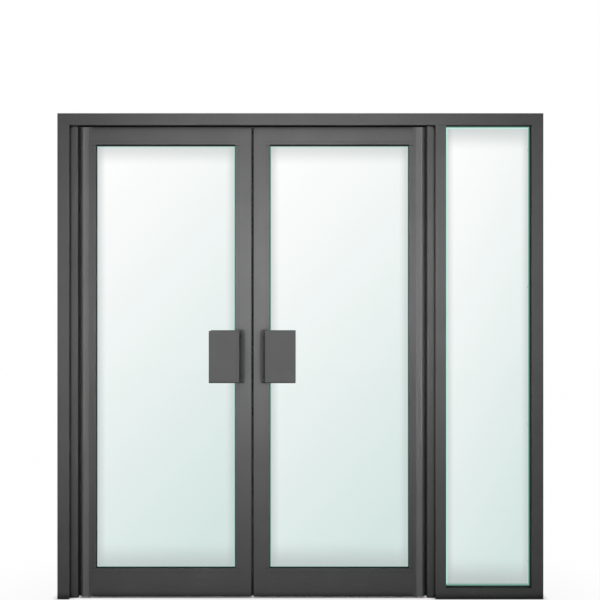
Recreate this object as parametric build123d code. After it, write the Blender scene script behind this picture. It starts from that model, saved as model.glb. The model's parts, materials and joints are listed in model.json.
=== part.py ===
"""Aluminium shop door: a double-action pair of glazed leaves and a fixed sidelight, in millimetres.

X runs along the wall from the left wall face, Y from the front (negative) to the back, Z up from the floor.
"""
from build123d import *
import os

# Outer frame
WIDTH = 2100.0
HEIGHT = 2100.0
DEPTH = 100.0
FRAME_FACE = 51.0
MULLION_FACE = 46.0
SILL_FACE = 48.0
SIDELIGHT_SIGHT = 369.0
FRAME_WALL = 2.2
EDGE_RADIUS = 1.0

# Pocket that runs along each frame section, for glass, posts and filler
POCKET_WIDTH = 16.0
POCKET_DEPTH = 15.0
POCKET_COVER = 11.0
POCKET_SLACK = 0.3

# Wall anchors through the jambs
ANCHOR_RADIUS = 4.25
ANCHOR_FROM_BACK = 14.0
ANCHOR_FROM_END = 150.0
ANCHOR_COUNT = 4

# Pivot posts
POST_WIDTH = 34.5
POST_DEPTH = 40.0
POST_NOSE_RADIUS = 6.0
POST_TONGUE = 12.0
POST_WALL = 2.0

# Gaps around the leaves
HEEL_GAP = 7.0
MEETING_GAP = 9.0
HEAD_GAP = 6.0
FLOOR_GAP = 6.0

# Leaves
LEAF_THICKNESS = 44.0
LEAF_WALL = 2.2
HEEL_RADIUS = 25.5
STILE_FACE = 54.0
TOP_RAIL_FACE = 62.0
BOTTOM_RAIL_FACE = 106.0
STILE_EDGE_RADIUS = 2.0

# Glazing
GLASS_THICKNESS = 6.0
LEAF_GLASS_COVER = 12.0
BEAD_FACE = 17.0
BEAD_STEP = 1.0
BEAD_WALL = 1.6
BEAD_RADIUS = 2.5
GASKET_THICKNESS = 4.0
GASKET_DEPTH = 9.0
GASKET_LIP = 2.0
GASKET_LIP_THICKNESS = 1.2
STRIP_GAP = 0.3
SETTING_BLOCK_LENGTH = 60.0
SETTING_BLOCK_SIDE_GAP = 1.0

# Pile seals
SEAL_GROOVE_WIDTH = 7.6
SEAL_GROOVE_DEPTH = 4.0
SEAL_SLACK = 0.2
PILE_WIDTH = 5.0
PILE_PROUD = 1.6

# Pull handles
PULL_HEIGHT = 225.0
PULL_CENTRE = 1047.5
PULL_FROM_EDGE = 33.0
PULL_FLANGE = 17.5
PULL_PLATE_WIDTH = 132.0
PULL_STANDOFF = 50.0
PULL_THICKNESS = 5.0
PULL_BEND_RADIUS = 2.0
PULL_EDGE_RADIUS = 1.0

# Pivots
FLOOR_PLATE_SIDE = 44.0
FLOOR_PLATE_HEIGHT = 1.0
FLOOR_COLLAR_RADIUS = 14.0
FLOOR_SPINDLE_RADIUS = 9.0
HEAD_PIN_RADIUS = 6.0
HEAD_BLOCK_LENGTH = 64.0
PIN_ENGAGEMENT = 25.0
BUSH_LENGTH = 34.0
BUSH_SLACK = 0.15
RUNNING_CLEARANCE = 0.05
THRUST_CLEARANCE = 0.2
BORE_RELIEF = 3.0

# Filler over the doorway
FILLER_LEG = 11.0
FILLER_WALL = 1.8

# Levels and lines that follow from the sizes above
HEAD_LEVEL = HEIGHT - FRAME_FACE
RIGHT_JAMB_LINE = WIDTH - FRAME_FACE
MULLION_RIGHT = RIGHT_JAMB_LINE - SIDELIGHT_SIGHT
MULLION_LEFT = MULLION_RIGHT - MULLION_FACE
DOORWAY_MIDDLE = (FRAME_FACE + MULLION_LEFT) / 2
POST_END = FRAME_FACE + POST_WIDTH
LEAF_START = POST_END + HEEL_GAP
LEAF_END = DOORWAY_MIDDLE - MEETING_GAP / 2
LEAF_BOTTOM = FLOOR_GAP
LEAF_TOP = HEAD_LEVEL - HEAD_GAP
PIVOT_X = LEAF_START + HEEL_RADIUS
RAIL_START = LEAF_START + STILE_FACE
RAIL_END = LEAF_END - STILE_FACE
PANE_BOTTOM = LEAF_BOTTOM + BOTTOM_RAIL_FACE
PANE_TOP = LEAF_TOP - TOP_RAIL_FACE
HALF_DEPTH = DEPTH / 2
HALF_LEAF = LEAF_THICKNESS / 2
HALF_GLASS = GLASS_THICKNESS / 2
HALF_POCKET = POCKET_WIDTH / 2
BEAD_BACK = HALF_GLASS + GASKET_THICKNESS
BEAD_FRONT = HALF_LEAF - BEAD_STEP
ANCHOR_Y = HALF_DEPTH - ANCHOR_FROM_BACK

FRONT = Vector(0, -1, 0)
BACK = Vector(0, 1, 0)


def rectangle(u_low, u_high, v_low, v_high):
    """A rectangle on the drawing plane between two limits each way."""
    middle = Pos((u_low + u_high) / 2, (v_low + v_high) / 2)
    return middle * Rectangle(u_high - u_low, v_high - v_low)


def outline(*points):
    """A closed flat face through the given points."""
    return make_face(Polyline(*points, close=True))


def hollow(outer, wall):
    """An extruded section with one chamber and an even wall."""
    return outer - offset(outer, -wall, kind=Kind.INTERSECTION)


def upright(section, low, high):
    """A section drawn on X and Y, run up between two levels."""
    return Pos(0, 0, low) * extrude(section, amount=high - low)


def along_x(section, start, end):
    """A section drawn on Y and Z, run along the wall."""
    return Pos(start, 0, 0) * extrude(Plane.YZ * section, amount=end - start)


def corner_wedge(*points):
    """A wedge through the whole depth, drawn on X and Z, that trims a mitre."""
    return extrude(Plane.XZ * outline(*points), amount=DEPTH, both=True)


def mirrored(piece):
    """The same piece on the right leaf or its side of the doorway."""
    return mirror(piece, about=Plane.YZ.offset(DOORWAY_MIDDLE))


def turned(piece):
    """The same piece on the other face of the leaf."""
    return mirror(piece, about=Plane.XZ)


def strip(section, middle, inward, outward, length):
    """A glazing strip drawn from the frame towards the pane and from the mid-plane outwards."""
    plane = Plane(origin=middle, x_dir=inward, z_dir=inward.cross(outward))
    return extrude(plane * section, amount=length / 2, both=True)


def ring(section, x_low, x_high, z_low, z_high, width, outward):
    """Four strips round an opening, the uprights cut between the other two."""
    x_middle = (x_low + x_high) / 2
    z_middle = (z_low + z_high) / 2
    across = x_high - x_low
    between = z_high - z_low - 2 * (width + STRIP_GAP)
    return [
        strip(section, (x_middle, 0, z_low), Vector(0, 0, 1), outward, across),
        strip(section, (x_middle, 0, z_high), Vector(0, 0, -1), outward, across),
        strip(section, (x_low, 0, z_middle), Vector(1, 0, 0), outward, between),
        strip(section, (x_high, 0, z_middle), Vector(-1, 0, 0), outward, between),
    ]


def frame_section(u_low, u_high, pockets):
    """A frame tube across its face, with a pocket in the middle of the named sides."""
    outer = rectangle(u_low, u_high, -HALF_DEPTH, HALF_DEPTH)
    outer = fillet(outer.vertices(), EDGE_RADIUS)
    inner_half = HALF_DEPTH - FRAME_WALL
    chamber = rectangle(u_low + FRAME_WALL, u_high - FRAME_WALL, -inner_half, inner_half)
    walled = POCKET_DEPTH + FRAME_WALL
    half_walled = HALF_POCKET + FRAME_WALL
    if "low" in pockets:
        outer -= rectangle(u_low, u_low + POCKET_DEPTH, -HALF_POCKET, HALF_POCKET)
        chamber -= rectangle(u_low, u_low + walled, -half_walled, half_walled)
    if "high" in pockets:
        outer -= rectangle(u_high - POCKET_DEPTH, u_high, -HALF_POCKET, HALF_POCKET)
        chamber -= rectangle(u_high - walled, u_high, -half_walled, half_walled)
    return outer - chamber


def swapped(section):
    """A section drawn on X and Y, laid over so that its face runs up Z."""
    return mirror(Rot(0, 0, 90) * section, about=Plane.YZ)


def anchored(jamb, side):
    """A jamb drilled for its wall anchors, both walls in line."""
    pitch = (HEIGHT - 2 * ANCHOR_FROM_END) / (ANCHOR_COUNT - 1)
    hole = Rot(0, 90, 0) * Cylinder(ANCHOR_RADIUS, 2 * FRAME_FACE)
    for place in range(ANCHOR_COUNT):
        jamb -= Pos(side, ANCHOR_Y, ANCHOR_FROM_END + place * pitch) * hole
    return jamb


def setting_blocks(x_low, x_high, z_low, z_high, half_width):
    """Two blocks at the quarter points that a pane's lower edge stands on."""
    half_block = SETTING_BLOCK_LENGTH / 2
    section = rectangle(-half_width, half_width, z_low, z_high)
    quarter = (x_high - x_low) / 4
    middles = (x_low + quarter, x_high - quarter)
    return Compound(children=[along_x(section, x - half_block, x + half_block) for x in middles])


def seal_strip(mouth):
    """A pile strip up the leaf's height: its base in the groove and the pile that stands proud."""
    floor = mouth - SEAL_GROOVE_DEPTH + SEAL_SLACK
    top = mouth - SEAL_SLACK
    tip = mouth + PILE_PROUD
    half_base = SEAL_GROOVE_WIDTH / 2 - SEAL_SLACK
    half_pile = PILE_WIDTH / 2
    section = outline(
        (floor, -half_base),
        (top, -half_base),
        (top, -half_pile),
        (tip, -half_pile),
        (tip, half_pile),
        (top, half_pile),
        (top, half_base),
        (floor, half_base),
    )
    return upright(section, LEAF_BOTTOM, LEAF_TOP)


pieces = {}

# Outer frame, mitred at its corners
left_jamb = upright(frame_section(0, FRAME_FACE, ["high"]), 0, HEIGHT)
left_jamb -= corner_wedge((0, HEIGHT), (FRAME_FACE, HEIGHT), (FRAME_FACE, HEAD_LEVEL))
pieces["left_jamb"] = anchored(left_jamb, FRAME_FACE / 2)

right_jamb = upright(frame_section(RIGHT_JAMB_LINE, WIDTH, ["low"]), 0, HEIGHT)
right_jamb -= corner_wedge((WIDTH, HEIGHT), (RIGHT_JAMB_LINE, HEIGHT), (RIGHT_JAMB_LINE, HEAD_LEVEL))
right_jamb -= corner_wedge((WIDTH, 0), (RIGHT_JAMB_LINE, 0), (RIGHT_JAMB_LINE, SILL_FACE))
pieces["right_jamb"] = anchored(right_jamb, WIDTH - FRAME_FACE / 2)

head = along_x(swapped(frame_section(HEAD_LEVEL, HEIGHT, ["low"])), 0, WIDTH)
head -= corner_wedge((0, HEIGHT), (0, HEAD_LEVEL), (FRAME_FACE, HEAD_LEVEL))
head -= corner_wedge((WIDTH, HEIGHT), (WIDTH, HEAD_LEVEL), (RIGHT_JAMB_LINE, HEAD_LEVEL))
pieces["head"] = head

mullion = upright(frame_section(MULLION_LEFT, MULLION_RIGHT, ["low", "high"]), 0, HEAD_LEVEL)
mullion -= corner_wedge((MULLION_LEFT, 0), (MULLION_RIGHT, 0), (MULLION_RIGHT, SILL_FACE))
pieces["mullion"] = mullion

sill = along_x(swapped(frame_section(0, SILL_FACE, ["high"])), MULLION_LEFT, WIDTH)
sill -= corner_wedge((MULLION_LEFT, 0), (MULLION_LEFT, SILL_FACE), (MULLION_RIGHT, SILL_FACE))
sill -= corner_wedge((WIDTH, 0), (WIDTH, SILL_FACE), (RIGHT_JAMB_LINE, SILL_FACE))
pieces["sidelight_sill"] = sill

# Sidelight pane held by gaskets in the pockets
pieces["sidelight_glass"] = extrude(
    Plane.XZ
    * rectangle(
        MULLION_RIGHT - POCKET_COVER,
        RIGHT_JAMB_LINE + POCKET_COVER,
        SILL_FACE - POCKET_COVER,
        HEAD_LEVEL + POCKET_COVER,
    ),
    amount=HALF_GLASS,
    both=True,
)
pocket_gasket = outline(
    (-GASKET_DEPTH, HALF_GLASS),
    (GASKET_LIP, HALF_GLASS),
    (GASKET_LIP, HALF_GLASS + GASKET_LIP_THICKNESS),
    (0, HALF_POCKET),
    (-GASKET_DEPTH, HALF_POCKET),
)
pieces["sidelight_gaskets"] = Compound(
    children=[
        one
        for outward in (FRONT, BACK)
        for one in ring(
            pocket_gasket, MULLION_RIGHT, RIGHT_JAMB_LINE, SILL_FACE, HEAD_LEVEL, GASKET_LIP, outward
        )
    ]
)

pieces["sidelight_setting_blocks"] = setting_blocks(
    MULLION_RIGHT,
    RIGHT_JAMB_LINE,
    SILL_FACE - POCKET_DEPTH,
    SILL_FACE - POCKET_COVER,
    HALF_POCKET - SETTING_BLOCK_SIDE_GAP,
)

# Pivot posts, clipped into the frame pockets beside the leaves
half_tongue = HALF_POCKET - POCKET_SLACK
post_outer = rectangle(FRAME_FACE, POST_END, -POST_DEPTH / 2, POST_DEPTH / 2)
nose = [v for v in post_outer.vertices() if v.X > (FRAME_FACE + POST_END) / 2]
post_outer = fillet(nose, POST_NOSE_RADIUS)
post_outer += rectangle(FRAME_FACE - POST_TONGUE, FRAME_FACE, -half_tongue, half_tongue)
half_groove = SEAL_GROOVE_WIDTH / 2
post_outer -= rectangle(POST_END - SEAL_GROOVE_DEPTH, POST_END, -half_groove, half_groove)
left_post = upright(hollow(post_outer, POST_WALL), 0, HEAD_LEVEL)
pieces["left_pivot_post"] = left_post
mitre_notch = rectangle(MULLION_LEFT, MULLION_RIGHT, -HALF_POCKET, HALF_POCKET)
pieces["right_pivot_post"] = mirrored(left_post) - upright(mitre_notch, 0, SILL_FACE)
heel_seal = seal_strip(POST_END)
pieces["left_heel_seal"] = heel_seal
pieces["right_heel_seal"] = mirrored(heel_seal)

# Top pivots in the head pocket and the filler between them
block_half = HEAD_BLOCK_LENGTH / 2
top_block = extrude(
    Pos(PIVOT_X, 0) * Rectangle(HEAD_BLOCK_LENGTH, 2 * half_tongue), amount=POCKET_DEPTH - POCKET_SLACK
)
pin_length = HEAD_GAP + PIN_ENGAGEMENT
top_pin = Pos(PIVOT_X, 0, -pin_length) * extrude(Circle(HEAD_PIN_RADIUS), amount=pin_length)
top_pivot = Pos(0, 0, HEAD_LEVEL) * (top_block + top_pin)
pieces["left_top_pivot"] = top_pivot
pieces["right_top_pivot"] = mirrored(top_pivot)

filler_section = rectangle(-half_tongue, half_tongue, HEAD_LEVEL, HEAD_LEVEL + FILLER_LEG)
filler_section -= rectangle(
    FILLER_WALL - half_tongue, half_tongue - FILLER_WALL, HEAD_LEVEL + FILLER_WALL, HEAD_LEVEL + FILLER_LEG
)
right_pivot_x = 2 * DOORWAY_MIDDLE - PIVOT_X
filler_runs = (
    (FRAME_FACE, PIVOT_X - block_half - STRIP_GAP),
    (PIVOT_X + block_half + STRIP_GAP, right_pivot_x - block_half - STRIP_GAP),
    (right_pivot_x + block_half + STRIP_GAP, MULLION_LEFT),
)
pieces["head_filler"] = Compound(children=[along_x(filler_section, *run) for run in filler_runs])

# Floor pivots that carry the leaves
floor_pivot = extrude(Rectangle(FLOOR_PLATE_SIDE, FLOOR_PLATE_SIDE), amount=FLOOR_PLATE_HEIGHT)
floor_pivot += extrude(Circle(FLOOR_COLLAR_RADIUS), amount=FLOOR_GAP - THRUST_CLEARANCE)
floor_pivot += extrude(Circle(FLOOR_SPINDLE_RADIUS), amount=FLOOR_GAP + PIN_ENGAGEMENT)
floor_pivot = Pos(PIVOT_X, 0, 0) * floor_pivot
pieces["left_floor_pivot"] = floor_pivot
pieces["right_floor_pivot"] = mirrored(floor_pivot)

# One leaf, built on the left
leaf = {}
heel_middle = Pos(PIVOT_X, 0)
heel_outer = heel_middle * Circle(HEEL_RADIUS) + rectangle(PIVOT_X, RAIL_START, -HALF_LEAF, HALF_LEAF)
inner_half = HALF_LEAF - LEAF_WALL
heel_chamber = heel_middle * Circle(HEEL_RADIUS - LEAF_WALL)
heel_chamber += rectangle(PIVOT_X, RAIL_START - LEAF_WALL, -inner_half, inner_half)
leaf["pivot_stile"] = upright(heel_outer - heel_chamber, LEAF_BOTTOM, LEAF_TOP)

meeting_outer = rectangle(RAIL_END, LEAF_END, -HALF_LEAF, HALF_LEAF)
meeting_corners = [v for v in meeting_outer.vertices() if v.X > (RAIL_END + LEAF_END) / 2]
meeting_outer = fillet(meeting_corners, STILE_EDGE_RADIUS)
meeting_outer -= rectangle(LEAF_END - SEAL_GROOVE_DEPTH, LEAF_END, -half_groove, half_groove)
leaf["meeting_stile"] = upright(hollow(meeting_outer, LEAF_WALL), LEAF_BOTTOM, LEAF_TOP)
leaf["meeting_seal"] = seal_strip(LEAF_END)


def rail(z_low, z_high):
    """A hollow rail between the stiles."""
    outer = rectangle(-HALF_LEAF, HALF_LEAF, z_low, z_high)
    section = hollow(outer, LEAF_WALL)
    return along_x(section, RAIL_START, RAIL_END)


leaf["top_rail"] = rail(PANE_TOP, LEAF_TOP)
leaf["bottom_rail"] = rail(LEAF_BOTTOM, PANE_BOTTOM)

glass_edge = BEAD_FACE - LEAF_GLASS_COVER
leaf["glass"] = extrude(
    Plane.XZ
    * rectangle(
        RAIL_START + glass_edge, RAIL_END - glass_edge, PANE_BOTTOM + glass_edge, PANE_TOP - glass_edge
    ),
    amount=HALF_GLASS,
    both=True,
)

leaf["setting_blocks"] = setting_blocks(
    RAIL_START, RAIL_END, PANE_BOTTOM, PANE_BOTTOM + glass_edge, BEAD_BACK - SETTING_BLOCK_SIDE_GAP
)

bead_outer = rectangle(0, BEAD_FACE, BEAD_BACK, BEAD_FRONT)
bead_nose = [v for v in bead_outer.vertices() if v.X > BEAD_FACE / 2 and v.Y > (BEAD_BACK + BEAD_FRONT) / 2]
bead_section = hollow(fillet(bead_nose, BEAD_RADIUS), BEAD_WALL)
leaf_gasket = outline(
    (BEAD_FACE - GASKET_DEPTH, HALF_GLASS),
    (BEAD_FACE + GASKET_LIP, HALF_GLASS),
    (BEAD_FACE + GASKET_LIP, HALF_GLASS + GASKET_LIP_THICKNESS),
    (BEAD_FACE, BEAD_BACK),
    (BEAD_FACE - GASKET_DEPTH, BEAD_BACK),
)
pane_box = (RAIL_START, RAIL_END, PANE_BOTTOM, PANE_TOP)
outer_beads = Compound(children=ring(bead_section, *pane_box, BEAD_FACE, FRONT))
leaf["outer_beads"] = outer_beads
leaf["inner_beads"] = turned(outer_beads)
leaf["gaskets"] = Compound(
    children=[
        one
        for outward in (FRONT, BACK)
        for one in ring(leaf_gasket, *pane_box, BEAD_FACE + GASKET_LIP, outward)
    ]
)

# Plate pulls bent from flat bar, back to back on the meeting stile
flange_tip = LEAF_END - PULL_FROM_EDGE
web_side = flange_tip - PULL_FLANGE
plate_tip = web_side - PULL_PLATE_WIDTH
plate_front = -HALF_LEAF - PULL_STANDOFF
pull_outline = outline(
    (flange_tip, -HALF_LEAF),
    (flange_tip, -HALF_LEAF - PULL_THICKNESS),
    (web_side, -HALF_LEAF - PULL_THICKNESS),
    (web_side, plate_front),
    (plate_tip, plate_front),
    (plate_tip, plate_front + PULL_THICKNESS),
    (web_side - PULL_THICKNESS, plate_front + PULL_THICKNESS),
    (web_side - PULL_THICKNESS, -HALF_LEAF),
)
bends = [v for v in pull_outline.vertices() if abs(v.X - web_side) < 1.5 * PULL_THICKNESS]
pull_outline = fillet(bends, PULL_BEND_RADIUS)
tips = pull_outline.vertices().group_by(Axis.X)[0] + pull_outline.vertices().group_by(Axis.X)[-1]
pull_outline = fillet(tips, PULL_EDGE_RADIUS)
outer_pull = upright(pull_outline, PULL_CENTRE - PULL_HEIGHT / 2, PULL_CENTRE + PULL_HEIGHT / 2)
leaf["outer_pull"] = outer_pull
leaf["inner_pull"] = turned(outer_pull)

# Bushes that plug the heel tube and turn on the pivots
bush_section = offset(heel_chamber, -BUSH_SLACK, kind=Kind.INTERSECTION)
bore_depth = PIN_ENGAGEMENT + BORE_RELIEF
shoe = upright(bush_section, LEAF_BOTTOM, LEAF_BOTTOM + BUSH_LENGTH)
shoe -= upright(
    heel_middle * Circle(FLOOR_SPINDLE_RADIUS + RUNNING_CLEARANCE), LEAF_BOTTOM, LEAF_BOTTOM + bore_depth
)
leaf["bottom_shoe"] = shoe
bush = upright(bush_section, LEAF_TOP - BUSH_LENGTH, LEAF_TOP)
bush -= upright(heel_middle * Circle(HEAD_PIN_RADIUS + RUNNING_CLEARANCE), LEAF_TOP - bore_depth, LEAF_TOP)
leaf["top_bush"] = bush

for name, piece in leaf.items():
    pieces["left_" + name] = piece
    pieces["right_" + name] = mirrored(piece)

os.makedirs("parts", exist_ok=True)
for name, piece in pieces.items():
    export_step(piece, "parts/" + name + ".step")
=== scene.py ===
"""Looks for an aluminium shop door: two swing leaves and a sidelight in one charcoal frame, in metres."""
import json
import math

import bpy
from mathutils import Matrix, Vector


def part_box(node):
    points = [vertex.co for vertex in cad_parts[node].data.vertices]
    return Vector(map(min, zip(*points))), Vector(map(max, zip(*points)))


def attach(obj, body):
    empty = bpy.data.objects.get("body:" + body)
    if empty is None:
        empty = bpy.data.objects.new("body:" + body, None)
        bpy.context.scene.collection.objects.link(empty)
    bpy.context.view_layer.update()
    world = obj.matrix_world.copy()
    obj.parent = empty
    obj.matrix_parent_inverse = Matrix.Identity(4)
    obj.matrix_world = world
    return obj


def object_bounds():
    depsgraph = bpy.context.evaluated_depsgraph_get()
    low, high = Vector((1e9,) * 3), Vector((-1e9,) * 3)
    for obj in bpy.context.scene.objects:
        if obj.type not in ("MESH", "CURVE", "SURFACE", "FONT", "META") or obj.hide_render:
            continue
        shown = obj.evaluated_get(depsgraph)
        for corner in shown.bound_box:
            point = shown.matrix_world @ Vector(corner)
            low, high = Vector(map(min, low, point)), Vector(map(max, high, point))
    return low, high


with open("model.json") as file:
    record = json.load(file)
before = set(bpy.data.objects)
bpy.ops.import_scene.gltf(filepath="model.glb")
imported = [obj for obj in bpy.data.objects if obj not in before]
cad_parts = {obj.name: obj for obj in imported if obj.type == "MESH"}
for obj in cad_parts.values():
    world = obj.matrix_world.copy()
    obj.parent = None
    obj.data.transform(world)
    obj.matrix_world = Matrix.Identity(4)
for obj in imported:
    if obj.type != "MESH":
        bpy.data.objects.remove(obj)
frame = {"nodes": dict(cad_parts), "record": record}
cad_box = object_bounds()

# Places read from the frame
LEFT_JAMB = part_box("left_jamb")
RIGHT_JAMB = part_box("right_jamb")
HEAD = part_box("head")
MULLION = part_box("mullion")
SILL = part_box("sidelight_sill")
PULL_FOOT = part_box("left_outer_pull")[0].z
SET_WIDTH = cad_box[1].x - cad_box[0].x
FRAME_FRONT = LEFT_JAMB[0].y
SIDES = ("left", "right")
RAILS = ("top_rail", "bottom_rail")
FRAME_BARS = ("left_jamb", "right_jamb", "head", "mullion", "sidelight_sill")

# Sizes as built: leaf tubes, heels, pulls, wall anchors, beads and seal grooves
LEAF_WALL = 0.0022
HEEL_RADIUS = 0.0255
PULL_FLANGE = 0.0175
PULL_SHEET = 0.005
ANCHOR_FROM_BACK = 0.014
ANCHOR_HEIGHTS = (0.15, 0.75, 1.35, 1.95)
BEAD_FACE = 0.017
SEAL_GROOVE = 0.004

# Camera: level, straight on, framed by the width of its view
CAMERA_DISTANCE = 6.0
CAMERA_HEIGHT = 1.293
CAMERA_SIDE = -0.0015
VIEW_WIDTH = 2.592
SENSOR_WIDTH = 36.0

# Soft lights, placed from the middle of the set's foot
KEY_SIZE = 1.4
KEY_PLACE = (-0.1, -6.1, 1.55)
KEY_AIM = (-0.1, 0.0, 1.47)
KEY_POWER = 8.7
KEY_SPREAD = 28.0
FILLS = (
    ("left_fill", (-0.75, -6.1, 1.1), (-0.75, 0.0, 1.0), 2.0),
    ("right_fill", (0.7, -6.1, 1.6), (0.7, 0.0, 1.6), 2.0),
    ("left_side", (-5.0, 0.0, 1.3), (0.0, 0.0, 1.2), 2.5),
    ("right_side", (5.0, 0.0, 1.3), (0.0, 0.0, 1.2), 2.5),
)
STRIP_WIDTH = 1.1
STRIP_HEIGHT = 2.8
STRIP_PLACE = (4.2, -4.2, 1.5)
STRIP_AIM_HEIGHT = 1.2
STRIP_POWER = 24.0
WARM_LIGHT = (1.0, 0.84, 0.74)
COOL_LIGHT = (0.86, 0.95, 1.0)
TOP_SIZE = 3.0
TOP_PLACE = (0.0, 1.6, 4.0)
TOP_AIM = (0.0, 1.2, 0.0)
TOP_POWER = 18.0
BACK_PLACE = (0.0, 6.1, 1.8)
BACK_AIM = (0.0, 0.0, 1.1)
BACK_POWER = 24.0
BACK_SPREAD = 42.0
AMBIENT = 0.02
WHITE = (1.0, 1.0, 1.0, 1.0)

# Floor: its colour, how much of it shows as plain white near the set and far off, and its contact shade
FLOOR_SIZE = 40.0
FLOOR_COLOUR = (0.9, 0.9, 0.9, 1.0)
FLOOR_ROUGHNESS = 0.9
FLOOR_SHOWN_NEAR = 0.85
FLOOR_SHOWN_FAR = 0.995
FLOOR_NEAR = 0.3
FLOOR_FAR = 1.6
CONTACT_REACH = 0.03
CORNER_SAMPLES = 8

# Powder coat: colours, tints of them, gloss and texture
CHARCOAL = (0.12, 0.12, 0.121)
PULL_CHARCOAL = (0.086, 0.087, 0.087)
DARKER_TINT = 0.88
LIGHTER_TINT = 1.12
DUSTY_TINT = 1.7
COAT_ROUGHNESS = 0.22
PULL_ROUGHNESS = 0.4
SHEEN_CHANGE = 0.03
COAT_SPECULAR = 0.18
COAT_BUMP = (0.12, 0.0002)
MOTTLE_LOW = 0.2
MOTTLE_HIGH = 0.8

# Pulls: painted shade behind the plate, and a painted shade line along the lower edge
PULL_SHADED_DEPTH = 0.045
PULL_SHADED_FADE = 0.004
PULL_SHADED_TINT = 0.9
PULL_FOOT_LINE = 0.0042
PULL_FOOT_TINT = 0.3

# Painted shade in corners and rebates: its dark colour, which hairline joints share, and the roughness it
# brings, how closed in a place has to be, and how far each piece looks for that
JOINT_AND_SHADE_COLOUR = (0.012, 0.011, 0.01, 1.0)
SHADE_DULL = 0.4
SHADE_ROUGHNESS = 0.9
SHADE_START = 0.08
SHADE_FULL = 0.62
COAT_SHADE_REACH = 0.05
PULL_SHADE_REACH = 0.035
POST_SHADE_REACH = 0.015
HEEL_SHADE_REACH = 0.003

# Scuffs and dust near the floor
SCUFF_REACH = 0.16
SCUFF_STRETCH = (9.0, 9.0, 60.0)
SCUFF_START = 0.56
SCUFF_FULL = 0.74
DUST_SHARE = 0.35

# Round heel: depth of facet that still counts as round, and the polish that the pile leaves
HEEL_BAND = 0.0005
HEEL_POLISH_ROUGHNESS = 0.07

# Half the width of a hairline joint
JOINT_HALF = 0.00012

# Rebates round the panes, where shade is painted: how near the opening's edge they lie, how strong the painted
# shade is, and how far they start behind the front
REBATE_BAND = 0.0006
REBATE_SHADE = 0.9
FRAME_REBATE_START = 0.0008
BEAD_REBATE_START = 0.0025

# Height of the painted shadow line along the lower edge of the bead over a leaf's pane
SHADOW_LINE_HEIGHT = 0.0042

# Glass: colours at its head, foot and shaded edges, and how the green comes on down and across the pane
GLASS_CLEAR = (0.985, 0.99, 0.99, 1.0)
GLASS_GREEN = (0.655, 0.785, 0.755, 1.0)
GLASS_SHADED = (0.47, 0.52, 0.51, 1.0)
GLASS_SHADOW = (0.9, 0.94, 0.93, 1.0)
GLASS_IOR = 1.45
GREEN_START = 0.08
GREEN_FULL = 1.2
GREEN_ACROSS = 0.35

# Edges of a pane: how far its painted soft shade and its painted bright rim reach, and how strong the painted
# shade is
LEAF_EDGE = {
    "Side_reach": 0.046, "Head_reach": 0.092, "Foot_reach": 0.12, "Rim_reach": 0.0068, "Strength": 0.56
}
SIDELIGHT_EDGE = {
    "Side_reach": 0.043, "Head_reach": 0.115, "Foot_reach": 0.13, "Rim_reach": 0.0115, "Strength": 0.68
}
FOOT_SHADE = 1.13

# Painted bright rim of a pane, a highlight that glows though the glass is no lamp: its colour and glow, and the
# share of its width that is at full strength
RIM_MINT = (0.3, 0.52, 0.46, 1.0)
RIM_SHARE = 0.95
RIM_FULL = 0.65
RIM_GLOW = (0.14, 0.25, 0.215)
LEAF_RIM_GLOW = 0.3
SIDELIGHT_RIM_GLOW = 0.9

# Rubber and moulded plastic: scales of grain and mottling, two shades, range of roughness, and relief
RUBBER_SCALES = (400.0, 30.0)
RUBBER_SHADES = ((0.012, 0.012, 0.012, 1.0), (0.03, 0.03, 0.03, 1.0))
RUBBER_ROUGHNESS = (0.6, 0.78)
RUBBER_SPECULAR = 0.12
RUBBER_BUMP = (0.2, 0.0003)
MOULDED_SCALES = (1400.0, 12.0)
MOULDED_SHADES = ((0.02, 0.02, 0.021, 1.0), (0.04, 0.04, 0.041, 1.0))
MOULDED_ROUGHNESS = (0.48, 0.6)
MOULDED_SPECULAR = 0.5
MOULDED_BUMP = (0.15, 0.0003)

# Steel and pile: two shades, roughness, and how far their rings and hairs are drawn out
STEEL_DARK = (0.42, 0.42, 0.41, 1.0)
STEEL_LIGHT = (0.6, 0.6, 0.59, 1.0)
STEEL_ROUGHNESS = (0.22, 0.4)
STEEL_STRETCH = (40.0, 40.0, 4000.0)
RING_LOW = 0.3
RING_HIGH = 0.7
GREY_PILE_SHADES = (0.015, 0.05)
# The near-black pile in the meeting and head gaps also stands in for the shade there
PILE_AND_GAP_SHADE_LEVELS = (0.002, 0.005)
PILE_ROUGHNESS = 0.95
PILE_SPECULAR = 0.03
PILE_STRETCH = (300.0, 1800.0, 1800.0)
PILE_BUMP = (0.6, 0.0006)

# Small hardware: a rim is inset into a head or plug, and then lifted or sunk
ROUND_SIDES = 32
FACES_ALIKE = 0.99
PULL_SCREW_RADIUS = 0.0042
PULL_SCREW_HEIGHT = 0.0007
PULL_SCREW_RIM = 0.0009
PULL_SCREW_LIFT = 0.0002
PULL_SCREW_SPREAD = 0.085
HEX_RADIUS = 0.0021
HEX_DEPTH = PULL_SCREW_HEIGHT / 2
ANCHOR_CAP_RADIUS = 0.0068
ANCHOR_CAP_HEIGHT = 0.0022
ANCHOR_CAP_RIM = 0.0016
ANCHOR_CAP_LIFT = 0.0006
STILE_PLUG_DEPTH = 0.012
STILE_PLUG_DROP = 0.0004
STILE_PLUG_SLACK = 0.0003
STILE_PLUG_RIM = 0.003
STILE_PLUG_DISH = 0.0025

# Pile strips: their width, their taper, and how far their tips stay from what they brush
PILE_WIDTH = 0.0048
PILE_TIP_SHARE = 0.55
HEAD_PILE_LINE = -0.012
HEEL_PILE_CLEAR = 0.0001
HEAD_PILE_CLEAR = 0.0002
MEETING_PILE_CLEAR = 0.0001


# Node helpers

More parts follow.
